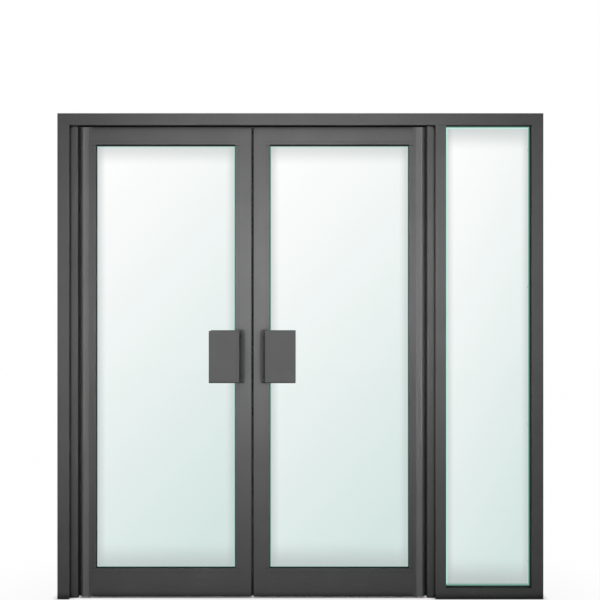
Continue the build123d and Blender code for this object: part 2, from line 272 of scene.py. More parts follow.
def new_material(name):
    """A material with its Principled shader ready to be wired."""
    material = bpy.data.materials.new(name)
    material.use_nodes = True
    shader = material.node_tree.nodes["Principled BSDF"]
    return material, material.node_tree, shader


def add_node(tree, kind, **values):
    """A node with its settings and unlinked inputs filled in."""
    node = tree.nodes.new(kind)
    for key, value in values.items():
        if key in node.inputs:
            node.inputs[key].default_value = value
        else:
            setattr(node, key, value)
    return node


def feed(tree, socket, value):
    """Links a socket to an input, or writes a plain value there."""
    if isinstance(value, bpy.types.NodeSocket):
        tree.links.new(value, socket)
    else:
        socket.default_value = value


def math_node(tree, operation, first, second=None):
    """One sum on two sockets or numbers, and its result."""
    node = add_node(tree, "ShaderNodeMath", operation=operation)
    feed(tree, node.inputs[0], first)
    if second is not None:
        feed(tree, node.inputs[1], second)
    return node.outputs[0]


def ramp_between(tree, value, low, high, start=0.0, end=1.0, shape="SMOOTHSTEP"):
    """A change from start to end as the value goes from low to high, smooth unless told otherwise."""
    node = add_node(tree, "ShaderNodeMapRange", interpolation_type=shape)
    tree.links.new(value, node.inputs["Value"])
    node.inputs["From Min"].default_value = low
    node.inputs["From Max"].default_value = high
    node.inputs["To Min"].default_value = start
    node.inputs["To Max"].default_value = end
    return node.outputs["Result"]


def mix_colours(tree, factor, first, second):
    """A blend of two colours or colour sockets."""
    node = add_node(tree, "ShaderNodeMix", data_type="RGBA")
    for socket, value in ((node.inputs[0], factor), (node.inputs[6], first), (node.inputs[7], second)):
        feed(tree, socket, value)
    return node.outputs[2]


def tint(colour, share):
    """A colour made darker or lighter."""
    return tuple(share * part for part in colour) + (1.0,)


def grey(level):
    """A plain grey."""
    return (level, level, level, 1.0)


def object_place(tree):
    """A point's X, Y and Z on its piece."""
    place = add_node(tree, "ShaderNodeSeparateXYZ")
    tree.links.new(add_node(tree, "ShaderNodeTexCoord").outputs["Object"], place.inputs[0])
    return place.outputs


def stretched_noise(tree, stretch, detail, roughness):
    """Noise that is drawn out along one or two axes of a piece."""
    mapping = add_node(tree, "ShaderNodeMapping", Scale=stretch)
    tree.links.new(add_node(tree, "ShaderNodeTexCoord").outputs["Object"], mapping.inputs["Vector"])
    noise = add_node(tree, "ShaderNodeTexNoise", Scale=1.0, Detail=detail, Roughness=roughness)
    tree.links.new(mapping.outputs["Vector"], noise.inputs["Vector"])
    return noise.outputs["Fac"]


def add_bump(tree, shader, height, bump):
    """A fine relief, given as strength and distance, on a shader's normal."""
    strength, distance = bump
    node = add_node(tree, "ShaderNodeBump", Strength=strength, Distance=distance)
    tree.links.new(height, node.inputs["Height"])
    tree.links.new(node.outputs["Normal"], shader.inputs["Normal"])
    return node


def new_group(name, inputs, outputs):
    """An empty shader node group with named number inputs and outputs."""
    group = bpy.data.node_groups.new(name, "ShaderNodeTree")
    for label, value in inputs:
        socket = group.interface.new_socket(label, in_out="INPUT", socket_type="NodeSocketFloat")
        socket.default_value = value
    for label in outputs:
        group.interface.new_socket(label, in_out="OUTPUT", socket_type="NodeSocketFloat")
    return group, group.nodes.new("NodeGroupInput"), group.nodes.new("NodeGroupOutput")


def place_group(tree, group, **values):
    """A copy of a node group in a material, with its own values."""
    node = tree.nodes.new("ShaderNodeGroup")
    node.node_tree = group
    for label, value in values.items():
        node.inputs[label.replace("_", " ")].default_value = value
    return node


# Effects that several finishes share

def make_powder_grain():
    """Fine orange-peel texture and broad faint mottling of a baked powder coat."""
    group, given, result = new_group(
        "powder_grain", [("Grain scale", 900.0), ("Mottle scale", 5.0)], ["Height", "Mottle"]
    )
    place = add_node(group, "ShaderNodeTexCoord").outputs["Object"]
    grain = add_node(group, "ShaderNodeTexNoise", Detail=2.0, Roughness=0.45)
    mottle = add_node(group, "ShaderNodeTexNoise", Detail=3.0, Roughness=0.6)
    for noise, label in ((grain, "Grain scale"), (mottle, "Mottle scale")):
        group.links.new(place, noise.inputs["Vector"])
        group.links.new(given.outputs[label], noise.inputs["Scale"])
    group.links.new(grain.outputs["Fac"], result.inputs["Height"])
    group.links.new(mottle.outputs["Fac"], result.inputs["Mottle"])
    return group


def make_corner_shade():
    """Painted shade where surfaces meet or stand close together."""
    group, given, result = new_group("corner_shade", [("Reach", COAT_SHADE_REACH)], ["Grime"])
    corner = add_node(group, "ShaderNodeAmbientOcclusion", samples=CORNER_SAMPLES)
    group.links.new(given.outputs["Reach"], corner.inputs["Distance"])
    closed = math_node(group, "SUBTRACT", 1.0, corner.outputs["AO"])
    group.links.new(ramp_between(group, closed, SHADE_START, SHADE_FULL), result.inputs["Grime"])
    return group


def make_round_heel():
    """Smooth round normals on the heel of a pivot stile, and the plain ones elsewhere."""
    group, given, result = new_group("round_heel", [("Axis X", 0.0), ("Radius", HEEL_RADIUS)], ["Heel"])
    group.interface.new_socket("Normal", in_out="OUTPUT", socket_type="NodeSocketVector")
    place = object_place(group)
    spoke = add_node(group, "ShaderNodeCombineXYZ")
    group.links.new(math_node(group, "SUBTRACT", place["X"], given.outputs["Axis X"]), spoke.inputs[0])
    group.links.new(place["Y"], spoke.inputs[1])
    reach = add_node(group, "ShaderNodeVectorMath", operation="LENGTH")
    group.links.new(spoke.outputs[0], reach.inputs[0])
    off = math_node(group, "SUBTRACT", reach.outputs["Value"], given.outputs["Radius"])
    on_heel = math_node(group, "LESS_THAN", math_node(group, "ABSOLUTE", off), HEEL_BAND)
    turned = add_node(
        group, "ShaderNodeVectorTransform", vector_type="NORMAL", convert_from="OBJECT", convert_to="WORLD"
    )
    group.links.new(spoke.outputs[0], turned.inputs[0])
    blend = add_node(group, "ShaderNodeMix", data_type="VECTOR")
    group.links.new(on_heel, blend.inputs[0])
    group.links.new(add_node(group, "ShaderNodeNewGeometry").outputs["Normal"], blend.inputs[4])
    group.links.new(turned.outputs[0], blend.inputs[5])
    group.links.new(blend.outputs[1], result.inputs["Normal"])
    group.links.new(on_heel, result.inputs["Heel"])
    return group


def make_joint_line():
    """A hairline on the face of the set, drawn from a start point to an end point."""
    group, given, result = new_group(
        "joint_line", [("Start X", 0.0), ("Start Z", 0.0), ("End X", 1.0), ("End Z", 1.0)], ["Line"]
    )
    place = object_place(group)
    run_x = math_node(group, "SUBTRACT", given.outputs["End X"], given.outputs["Start X"])
    run_z = math_node(group, "SUBTRACT", given.outputs["End Z"], given.outputs["Start Z"])
    off_x = math_node(group, "SUBTRACT", place["X"], given.outputs["Start X"])
    off_z = math_node(group, "SUBTRACT", place["Z"], given.outputs["Start Z"])
    square_x = math_node(group, "MULTIPLY", run_x, run_x)
    square_z = math_node(group, "MULTIPLY", run_z, run_z)
    square = math_node(group, "ADD", square_x, square_z)
    length = math_node(group, "SQRT", square)
    across_x = math_node(group, "MULTIPLY", off_x, run_z)
    across_z = math_node(group, "MULTIPLY", off_z, run_x)
    across = math_node(group, "SUBTRACT", across_x, across_z)
    away = math_node(group, "DIVIDE", math_node(group, "ABSOLUTE", across), length)
    along_x = math_node(group, "MULTIPLY", off_x, run_x)
    along_z = math_node(group, "MULTIPLY", off_z, run_z)
    along = math_node(group, "ADD", along_x, along_z)
    share = math_node(group, "DIVIDE", along, square)
    near = ramp_between(group, away, JOINT_HALF, 2 * JOINT_HALF, 1.0, 0.0)
    started = math_node(group, "GREATER_THAN", share, 0.0)
    ended = math_node(group, "LESS_THAN", share, 1.0)
    within = math_node(group, "MULTIPLY", started, ended)
    group.links.new(math_node(group, "MULTIPLY", near, within), result.inputs["Line"])
    return group


def make_rebate():
    """The narrow faces round a sight opening, behind its front edges, and a line along its head, where shade is
    painted.
    """
    group, given, result = new_group(
        "rebate",
        [("Low X", 0.0), ("High X", 1.0), ("Low Z", 0.0), ("High Z", 2.0), ("Front", 0.05), ("Drip", 0.0)],
        ["Rebate"],
    )
    place = object_place(group)
    left = math_node(group, "SUBTRACT", given.outputs["Low X"], place["X"])
    right = math_node(group, "SUBTRACT", place["X"], given.outputs["High X"])
    foot = math_node(group, "SUBTRACT", given.outputs["Low Z"], place["Z"])
    head = math_node(group, "SUBTRACT", place["Z"], given.outputs["High Z"])
    sides = math_node(group, "MAXIMUM", left, right)
    ends = math_node(group, "MAXIMUM", foot, head)
    outside = math_node(group, "MAXIMUM", sides, ends)
    on_edge = math_node(group, "LESS_THAN", math_node(group, "ABSOLUTE", outside), REBATE_BAND)
    depth = math_node(group, "ABSOLUTE", place["Y"])
    sunk = math_node(group, "LESS_THAN", depth, given.outputs["Front"])
    rebate = math_node(group, "MULTIPLY", on_edge, sunk)
    above = math_node(group, "GREATER_THAN", head, 0.0)
    below = math_node(group, "LESS_THAN", head, given.outputs["Drip"])
    between = math_node(group, "LESS_THAN", sides, 0.0)
    shadow_line = math_node(group, "MULTIPLY", math_node(group, "MULTIPLY", above, below), between)
    group.links.new(math_node(group, "MAXIMUM", rebate, shadow_line), result.inputs["Rebate"])
    return group


def make_floor_scuffs():
    """Short pale scuffs and dust that thin out with height above the floor."""
    group, given, result = new_group("floor_scuffs", [("Reach", SCUFF_REACH)], ["Scuff"])
    rise = math_node(group, "DIVIDE", object_place(group)["Z"], given.outputs["Reach"])
    low_down = ramp_between(group, rise, 0.0, 1.0, 1.0, 0.0)
    marks = stretched_noise(group, SCUFF_STRETCH, detail=6.0, roughness=0.7)
    streaks = ramp_between(group, marks, SCUFF_START, SCUFF_FULL)
    group.links.new(math_node(group, "MULTIPLY", streaks, low_down), result.inputs["Scuff"])
    return group


def make_pane_edge():
    """Painted soft shade and a painted bright rim along a pane's sight edges, and how far down and across a
    point lies.
    """
    group, given, result = new_group(
        "pane_edge",
        [
            ("Low X", 0.0), ("High X", 1.0), ("Low Z", 0.0), ("High Z", 2.0), ("Side reach", 0.05),
            ("Head reach", 0.1), ("Foot reach", 0.12), ("Rim reach", 0.009), ("Strength", 0.6),
        ],
        ["Shade", "Rim", "Fall"],
    )
    place = object_place(group)
    from_left = math_node(group, "SUBTRACT", place["X"], given.outputs["Low X"])
    from_right = math_node(group, "SUBTRACT", given.outputs["High X"], place["X"])
    from_foot = math_node(group, "SUBTRACT", place["Z"], given.outputs["Low Z"])
    from_head = math_node(group, "SUBTRACT", given.outputs["High Z"], place["Z"])
    edges = (
        (from_left, "Side reach", 1.0),
        (from_right, "Side reach", 1.0),
        (from_head, "Head reach", 1.0),
        (from_foot, "Foot reach", FOOT_SHADE),
    )
    clear = 1.0
    for away, label, share in edges:
        part = math_node(group, "DIVIDE", away, given.outputs[label])
        fade = ramp_between(group, part, 0.0, 1.0, share, 0.0)
        shade = math_node(group, "MULTIPLY", fade, given.outputs["Strength"])
        clear = math_node(group, "MULTIPLY", clear, math_node(group, "SUBTRACT", 1.0, shade))
    group.links.new(math_node(group, "SUBTRACT", 1.0, clear), result.inputs["Shade"])
    sides = math_node(group, "MINIMUM", from_left, from_right)
    ends = math_node(group, "MINIMUM", from_head, from_foot)
    nearest = math_node(group, "MINIMUM", sides, ends)
    rim = math_node(group, "DIVIDE", nearest, given.outputs["Rim reach"])
    group.links.new(ramp_between(group, rim, RIM_FULL, 1.0, 1.0, 0.0), result.inputs["Rim"])
    tall = math_node(group, "SUBTRACT", given.outputs["High Z"], given.outputs["Low Z"])
    wide = math_node(group, "SUBTRACT", given.outputs["High X"], given.outputs["Low X"])
    down = math_node(group, "DIVIDE", from_head, tall)
    across = math_node(group, "MULTIPLY", math_node(group, "DIVIDE", from_left, wide), GREEN_ACROSS)
    slope = math_node(group, "ADD", down, across)
    fall = ramp_between(group, slope, GREEN_START, GREEN_FULL, shape="LINEAR")
    group.links.new(fall, result.inputs["Fall"])
    return group


POWDER_GRAIN = make_powder_grain()
CORNER_SHADE = make_corner_shade()
ROUND_HEEL = make_round_heel()
JOINT_LINE = make_joint_line()
REBATE = make_rebate()
FLOOR_SCUFFS = make_floor_scuffs()
PANE_EDGE = make_pane_edge()


# Finishes

def coat_colour(tree, colour, mottle):
    """Powder coat with faint mottling, dusty near the floor."""
    base = mix_colours(tree, mottle, tint(colour, DARKER_TINT), tint(colour, LIGHTER_TINT))
    scuffs = place_group(tree, FLOOR_SCUFFS)
    dust = math_node(tree, "MULTIPLY", scuffs.outputs["Scuff"], DUST_SHARE)
    return mix_colours(tree, dust, base, tint(colour, DUSTY_TINT))


def shade_pull(tree, base, colour):
    """The same colour, with painted shade behind a pull's plate and a painted shade line along the pull's lower
    edge.
    """
    place = object_place(tree)
    depth = math_node(tree, "ABSOLUTE", place["Y"])
    behind = ramp_between(tree, depth, PULL_SHADED_DEPTH, PULL_SHADED_DEPTH + PULL_SHADED_FADE, 1.0, 0.0)
    base = mix_colours(tree, behind, base, tint(colour, PULL_SHADED_TINT))
    along_foot = math_node(tree, "LESS_THAN", place["Z"], PULL_FOOT + PULL_FOOT_LINE)
    return mix_colours(tree, along_foot, base, tint(colour, PULL_FOOT_TINT))


def rebate_shade(tree, opening, shadow_line):
    """Painted shade in the rebate round a sight opening, and a painted shadow line along its head."""
    low, high, front = opening
    rebate = place_group(
        tree, REBATE, Low_X=low.x, High_X=high.x, Low_Z=low.z, High_Z=high.z, Front=front, Drip=shadow_line
    )
    return math_node(tree, "MULTIPLY", rebate.outputs["Rebate"], REBATE_SHADE)


def coat_finish(
    name, colour=CHARCOAL, roughness=COAT_ROUGHNESS, shade_reach=COAT_SHADE_REACH, pull=False, heel_axis=None,
    joints=(), opening=None, shadow_line=0.0
):
    """Satin powder coat, with painted shade in corners.

    It can have the painted shade of a pull, be rubbed smooth round a heel axis, be marked by hairline joints,
    and have painted shade in the rebate round a sight opening.
    """
    material, tree, shader = new_material(name)
    grain = place_group(tree, POWDER_GRAIN)
    base = coat_colour(tree, colour, grain.outputs["Mottle"])
    if pull:
        base = shade_pull(tree, base, colour)
    for start, end in joints:
        joint = place_group(tree, JOINT_LINE, Start_X=start[0], Start_Z=start[1], End_X=end[0], End_Z=end[1])
        base = mix_colours(tree, joint.outputs["Line"], base, JOINT_AND_SHADE_COLOUR)
    # Painted shade: a darker colour and a rougher coat where a point is closed in
    painted_shade = place_group(tree, CORNER_SHADE, Reach=shade_reach).outputs["Grime"]
    if opening:
        painted_shade = math_node(tree, "MAXIMUM", painted_shade, rebate_shade(tree, opening, shadow_line))
    tree.links.new(mix_colours(tree, painted_shade, base, JOINT_AND_SHADE_COLOUR), shader.inputs["Base Color"])
    glossy = roughness - SHEEN_CHANGE
    matt = roughness + SHEEN_CHANGE
    sheen = ramp_between(tree, grain.outputs["Mottle"], MOTTLE_LOW, MOTTLE_HIGH, glossy, matt)
    dulled = ramp_between(tree, painted_shade, 0.0, SHADE_DULL, 0.0, SHADE_ROUGHNESS)
    tree.links.new(math_node(tree, "MAXIMUM", sheen, dulled), shader.inputs["Roughness"])
    shader.inputs["Specular IOR Level"].default_value = COAT_SPECULAR
    bump = add_bump(tree, shader, grain.outputs["Height"], COAT_BUMP)
    if heel_axis:
        heel = place_group(tree, ROUND_HEEL, Axis_X=heel_axis)
        tree.links.new(heel.outputs["Normal"], bump.inputs["Normal"])
        tree.links.new(heel.outputs["Heel"], shader.inputs["Coat Weight"])
        shader.inputs["Coat Roughness"].default_value = HEEL_POLISH_ROUGHNESS
    return material


def pane_finish(name, low, high, edges, rim_glow):
    """Clear glass that greens towards its foot, with painted shade along its edges and a painted, glowing
    highlight at the sight line.
    """
    material, tree, shader = new_material(name)
    edge = place_group(tree, PANE_EDGE, Low_X=low.x, High_X=high.x, Low_Z=low.z, High_Z=high.z, **edges)
    body = mix_colours(tree, edge.outputs["Fall"], GLASS_CLEAR, GLASS_GREEN)
    body = mix_colours(tree, edge.outputs["Shade"], body, GLASS_SHADED)
    rim = math_node(tree, "MULTIPLY", edge.outputs["Rim"], RIM_SHARE)
    tree.links.new(mix_colours(tree, rim, body, RIM_MINT), shader.inputs["Base Color"])
    # Painted glow: the rim gives off light though the glass is no lamp
    lit = mix_colours(tree, edge.outputs["Rim"], grey(0.0), tint(RIM_GLOW, rim_glow))
    tree.links.new(lit, shader.inputs["Emission Color"])
    shader.inputs["Emission Strength"].default_value = 1.0
    shader.inputs["Transmission Weight"].default_value = 1.0
    shader.inputs["Roughness"].default_value = 0.0
    shader.inputs["IOR"].default_value = GLASS_IOR
    light_path = add_node(tree, "ShaderNodeLightPath")
    through = add_node(tree, "ShaderNodeBsdfTransparent", Color=GLASS_SHADOW)
    blend = add_node(tree, "ShaderNodeMixShader")
    tree.links.new(light_path.outputs["Is Shadow Ray"], blend.inputs[0])
    tree.links.new(shader.outputs[0], blend.inputs[1])
    tree.links.new(through.outputs[0], blend.inputs[2])
    tree.links.new(blend.outputs[0], tree.nodes["Material Output"].inputs["Surface"])
    return material


def mottled_finish(name, scales, shades, roughness, specular, bump):
    """A dark skin with fine grain, mottled between two shades and two values of roughness."""
    material, tree, shader = new_material(name)
    grain = place_group(tree, POWDER_GRAIN, Grain_scale=scales[0], Mottle_scale=scales[1])
    tree.links.new(mix_colours(tree, grain.outputs["Mottle"], *shades), shader.inputs["Base Color"])
    skin = ramp_between(tree, grain.outputs["Mottle"], MOTTLE_LOW, MOTTLE_HIGH, *roughness)
    tree.links.new(skin, shader.inputs["Roughness"])
    shader.inputs["Specular IOR Level"].default_value = specular
    add_bump(tree, shader, grain.outputs["Height"], bump)
    return material


def pile_finish(name, shades):
    """Woven pile, combed across the strip, between the shade in its depth and that of its tips."""
    material, tree, shader = new_material(name)
    hairs = stretched_noise(tree, PILE_STRETCH, detail=4.0, roughness=0.7)
    depth, tip = shades
    tree.links.new(mix_colours(tree, hairs, grey(depth), grey(tip)), shader.inputs["Base Color"])
    shader.inputs["Roughness"].default_value = PILE_ROUGHNESS
    shader.inputs["Specular IOR Level"].default_value = PILE_SPECULAR
    add_bump(tree, shader, hairs, PILE_BUMP)
    return material


def steel_finish(name):
    """Turned stainless steel with fine rings."""
    material, tree, shader = new_material(name)
    rings = stretched_noise(tree, STEEL_STRETCH, detail=3.0, roughness=0.6)
    tree.links.new(mix_colours(tree, rings, STEEL_DARK, STEEL_LIGHT), shader.inputs["Base Color"])
    shine = ramp_between(tree, rings, RING_LOW, RING_HIGH, *STEEL_ROUGHNESS)
    tree.links.new(shine, shader.inputs["Roughness"])
    shader.inputs["Metallic"].default_value = 1.0
    return material


FINISHES = {
    "charcoal_coat": coat_finish("charcoal_coat"),
    "pull_coat": coat_finish("pull_coat", PULL_CHARCOAL, PULL_ROUGHNESS, PULL_SHADE_REACH, pull=True),
    "black_rubber": mottled_finish(
        "black_rubber", RUBBER_SCALES, RUBBER_SHADES, RUBBER_ROUGHNESS, RUBBER_SPECULAR, RUBBER_BUMP
    ),
    "grey_pile": pile_finish("grey_pile", GREY_PILE_SHADES),
    "pivot_steel": steel_finish("pivot_steel"),
    "bush_plastic": mottled_finish(
        "bush_plastic", MOULDED_SCALES, MOULDED_SHADES, MOULDED_ROUGHNESS, MOULDED_SPECULAR, MOULDED_BUMP
    ),
}
# Near-black pile, a real seal that also stands in for the shade in the meeting and head gaps
PILE_AND_GAP_SHADE = pile_finish("pile_and_gap_shade", PILE_AND_GAP_SHADE_LEVELS)


def dress(thing, material):
    """One material all over a piece."""
    thing.data.materials.clear()
    thing.data.materials.append(material)


def dress_node(name, material):
    """One material all over a CAD node."""
    dress(frame["nodes"][name], material)


def sight_opening(name):
    """The lowest and highest corners of a pane's clear sight."""
    if name == "sidelight":
        low = Vector((MULLION[1].x, 0.0, SILL[1].z))
        high = Vector((RIGHT_JAMB[0].x, 0.0, HEAD[0].z))
        return low, high
    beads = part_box(name + "_outer_beads")
    inset = Vector((BEAD_FACE, 0.0, BEAD_FACE))
    return beads[0] + inset, beads[1] - inset


def mitres():
    """The mitred corners of the frame, each from its outer to its inner end, on X and Z."""
    return (
        ((LEFT_JAMB[0].x, HEAD[1].z), (LEFT_JAMB[1].x, HEAD[0].z)),
        ((RIGHT_JAMB[1].x, HEAD[1].z), (RIGHT_JAMB[0].x, HEAD[0].z)),
        ((RIGHT_JAMB[1].x, SILL[0].z), (RIGHT_JAMB[0].x, SILL[1].z)),
        ((MULLION[0].x, SILL[0].z), (MULLION[1].x, SILL[1].z)),
    )


def rail_butts(side):
    """The square butts of a leaf's rails against its stiles, on X and Z."""
    butts = []
    for rail in RAILS:
        low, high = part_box(f"{side}_{rail}")
        butts += [((x, low.z), (x, high.z)) for x in (low.x, high.x)]
    return butts


def dress_frame():
    """Mitred bars with painted shade round the sidelight, pivot posts, and the sidelight's pane."""
    opening = sight_opening("sidelight")
    front = -FRAME_FRONT - FRAME_REBATE_START
    frame_coat = coat_finish("frame_coat", joints=mitres(), opening=opening + (front,))
    for name in FRAME_BARS:
        dress_node(name, frame_coat)
    post_coat = coat_finish("post_coat", shade_reach=POST_SHADE_REACH)
    for side in SIDES:
        dress_node(side + "_pivot_post", post_coat)
    pane = pane_finish("sidelight_pane", *opening, SIDELIGHT_EDGE, SIDELIGHT_RIM_GLOW)
    dress_node("sidelight_glass", pane)


def dress_leaf(side):
    """Butted rails, beads with painted shade round the pane, the round heel and the pane itself."""
    rail_coat = coat_finish(side + "_rail_coat", joints=rail_butts(side))
    for rail in RAILS:
        dress_node(f"{side}_{rail}", rail_coat)
    opening = sight_opening(side)
    front = -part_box(side + "_outer_beads")[0].y - BEAD_REBATE_START
    bead_coat = coat_finish(side + "_bead_coat", opening=opening + (front,), shadow_line=SHADOW_LINE_HEIGHT)
    for beads in ("outer_beads", "inner_beads"):
        dress_node(f"{side}_{beads}", bead_coat)
    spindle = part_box(side + "_floor_pivot")
    axis = (spindle[0].x + spindle[1].x) / 2
    heel_coat = coat_finish(side + "_heel_coat", shade_reach=HEEL_SHADE_REACH, heel_axis=axis)
    dress_node(side + "_pivot_stile", heel_coat)
    dress_node(side + "_glass", pane_finish(side + "_pane", *opening, LEAF_EDGE, LEAF_RIM_GLOW))


def dress_nodes():
    """Every node gets its slot's finish first, and those with a finish of their own get that instead."""
    for row in frame["record"]["subparts"]:
        finish = FINISHES.get(row["material_slot"])
        if finish:
            dress_node(row["node"], finish)
    dress_frame()
    for side in SIDES:
        dress_leaf(side)


dress_nodes()


# Small hardware and pile strips

def start_piece():
    """Object mode with nothing selected."""
    if bpy.context.mode != "OBJECT":
        bpy.ops.object.mode_set(mode="OBJECT")
    bpy.ops.object.select_all(action="DESELECT")


def pick_faces(thing, direction):
    """Edit mode with only the faces that look in one direction selected."""
    for part in (thing.data.vertices, thing.data.edges, thing.data.polygons):
        part.foreach_set("select", [False] * len(part))
    for face in thing.data.polygons:
        face.select = face.normal.dot(Vector(direction)) > FACES_ALIKE
    bpy.ops.object.mode_set(mode="EDIT")
    bpy.ops.mesh.select_mode(type="FACE")


def settle(thing, place=(0.0, 0.0, 0.0)):
    """Object mode, moved to its place, with the place kept in the mesh."""
    start_piece()
    thing.select_set(True)
    bpy.context.view_layer.objects.active = thing
    thing.location = Vector(thing.location) + Vector(place)
    bpy.ops.object.transform_apply(location=True, rotation=True, scale=True)


def fix_piece(thing, material, body):
    """Dresses a finished piece and fixes it to a body."""
    dress(thing, material)
    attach(thing, body)


def put_copy(pattern, name, place, body, slot):
    """A copy of a finished piece with its own mesh, fixed to a body."""
    thing = pattern.copy()
    thing.data = pattern.data.copy()
    thing.name = name
    bpy.context.scene.collection.objects.link(thing)
    settle(thing, place)
    fix_piece(thing, FINISHES[slot], body)


def drop_pattern(pattern):
    """Takes away a pattern or a cutter once it has been used."""
    mesh = pattern.data
    bpy.data.objects.remove(pattern)
    bpy.data.meshes.remove(mesh)


def disc_pattern(name, radius, height, direction, rim, lift):
    """A low round head that stands on a face and looks in one direction."""
    start_piece()
    bpy.ops.mesh.primitive_cylinder_add(vertices=ROUND_SIDES, radius=radius, depth=height)
    disc = bpy.context.active_object
    disc.name = name
    disc.rotation_euler = Vector(direction).to_track_quat("Z", "Y").to_euler()
    settle(disc, Vector(direction) * height / 2)
    pick_faces(disc, direction)
    bpy.ops.mesh.inset(thickness=rim, depth=lift)
    settle(disc)
    return disc


def cut_hex(screw, direction):
    """Sinks a hexagon socket into a screw's head."""
    start_piece()
    length = 2 * PULL_SCREW_HEIGHT
    bpy.ops.mesh.primitive_cylinder_add(vertices=6, radius=HEX_RADIUS, depth=length)
    cutter = bpy.context.active_object
    cutter.rotation_euler = Vector(direction).to_track_quat("Z", "Y").to_euler()
    settle(cutter, Vector(direction) * (PULL_SCREW_HEIGHT - HEX_DEPTH + length / 2))
    start_piece()
    screw.select_set(True)
    bpy.context.view_layer.objects.active = screw
    cut = screw.modifiers.new("socket", "BOOLEAN")
    cut.operation = "DIFFERENCE"
    cut.object = cutter
    bpy.ops.object.modifier_apply(modifier=cut.name)
    drop_pattern(cutter)


def add_pull_screws():
    """Two raised socket screws in the flange of each pull."""
    for face, direction in (("outer", (0, -1, 0)), ("inner", (0, 1, 0))):
        screw = disc_pattern(
            "screw", PULL_SCREW_RADIUS, PULL_SCREW_HEIGHT, direction, PULL_SCREW_RIM, PULL_SCREW_LIFT
        )
        cut_hex(screw, direction)
        for side in SIDES:
            low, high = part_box(f"{side}_{face}_pull")
            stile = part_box(f"{side}_meeting_stile")
            flange_x = high.x - PULL_FLANGE / 2 if side == "left" else low.x + PULL_FLANGE / 2
            flange_y = stile[0].y - PULL_SHEET if face == "outer" else stile[1].y + PULL_SHEET
            for row, shift in enumerate((-PULL_SCREW_SPREAD, PULL_SCREW_SPREAD)):
                place = (flange_x, flange_y, (low.z + high.z) / 2 + shift)
                put_copy(screw, f"{side}_{face}_pull_screw_{row + 1}", place, f"{side}_leaf", "pull_coat")
        drop_pattern(screw)


def add_anchor_caps():
    """Push-in caps over the wall anchors in the jamb reveals."""
    reveals = (("left", (1, 0, 0), LEFT_JAMB[1].x), ("right", (-1, 0, 0), RIGHT_JAMB[0].x))
    for side, direction, face_x in reveals:
        cap = disc_pattern(
            "cap", ANCHOR_CAP_RADIUS, ANCHOR_CAP_HEIGHT, direction, ANCHOR_CAP_RIM, ANCHOR_CAP_LIFT
        )
        for row, height in enumerate(ANCHOR_HEIGHTS):
            place = (face_x, LEFT_JAMB[1].y - ANCHOR_FROM_BACK, height)
            put_copy(cap, f"{side}_anchor_cap_{row + 1}", place, "frame", "bush_plastic")
        drop_pattern(cap)


def add_block(name, low, high):
    """A block between two corners, to be shaped further."""
    start_piece()
    bpy.ops.mesh.primitive_cube_add(size=1.0)
    block = bpy.context.active_object
    block.name = name
    block.scale = Vector(high) - Vector(low)
    settle(block, (Vector(low) + Vector(high)) / 2)
    return block


def add_stile_plugs():
    """Moulded plugs in both ends of each meeting stile."""
    inset = LEAF_WALL + STILE_PLUG_SLACK
    for side in SIDES:
        low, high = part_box(f"{side}_meeting_stile")
        left = low.x + inset + (SEAL_GROOVE if side == "right" else 0.0)
        right = high.x - inset - (SEAL_GROOVE if side == "left" else 0.0)
        ends = (("foot", low.z + STILE_PLUG_DROP, -1), ("head", high.z - STILE_PLUG_DROP, 1))
        for end, level, up in ends:
            bottom, top = sorted((level, level - up * STILE_PLUG_DEPTH))
            plug = add_block(
                f"{side}_stile_plug_{end}", (left, low.y + inset, bottom), (right, high.y - inset, top)
            )
            pick_faces(plug, (0, 0, up))
            bpy.ops.mesh.inset(thickness=STILE_PLUG_RIM, depth=-STILE_PLUG_DISH)
            settle(plug)
            fix_piece(plug, FINISHES["bush_plastic"], f"{side}_leaf")


def taper_pile(pile, direction):
    """Narrows a pile strip towards its tip."""
    pick_faces(pile, direction)
    bpy.ops.transform.resize(value=(1.0, PILE_TIP_SHARE, 1.0))
    settle(pile)


def add_pile(name, root, tip, low, high, body, finish):
    """Tapered pile standing out of its seal from root to tip."""
    half = PILE_WIDTH / 2
    start, end = sorted((root, tip))
    pile = add_block(name, (start, -half, low), (end, half, high))
    taper_pile(pile, (1 if tip > root else -1, 0, 0))
    fix_piece(pile, finish, body)


def add_piles():
    """Pile that brushes each heel, and near-black pile that fills the meeting gap and stands in for the shade
    there.
    """
    middle = (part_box("left_meeting_stile")[1].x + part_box("right_meeting_stile")[0].x) / 2
    grey_pile = FINISHES["grey_pile"]
    for side, out in (("left", 1), ("right", -1)):
        facing = 1 if side == "left" else 0
        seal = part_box(f"{side}_heel_seal")
        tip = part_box(f"{side}_pivot_stile")[1 - facing].x - out * HEEL_PILE_CLEAR
        add_pile(f"{side}_heel_pile", seal[facing].x, tip, seal[0].z, seal[1].z, "frame", grey_pile)
        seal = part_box(f"{side}_meeting_seal")
        tip = middle - out * MEETING_PILE_CLEAR
        body = f"{side}_leaf"
        add_pile(f"{side}_meeting_pile", seal[facing].x, tip, seal[0].z, seal[1].z, body, PILE_AND_GAP_SHADE)


def add_head_pile():
    """Near-black pile under the head that closes the gap over both leaves and stands in for the shade in that
    gap.
    """
    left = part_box("left_pivot_post")[1].x
    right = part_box("right_pivot_post")[0].x
    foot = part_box("left_top_rail")[1].z + HEAD_PILE_CLEAR
    low = (left, HEAD_PILE_LINE - PILE_WIDTH / 2, foot)
    high = (right, HEAD_PILE_LINE + PILE_WIDTH / 2, HEAD[0].z)
    pile = add_block("head_pile", low, high)
    taper_pile(pile, (0, 0, -1))
    fix_piece(pile, PILE_AND_GAP_SHADE, "frame")


add_pull_screws()
add_anchor_caps()
add_stile_plugs()
add_piles()
add_head_pile()


# Camera, floor and light

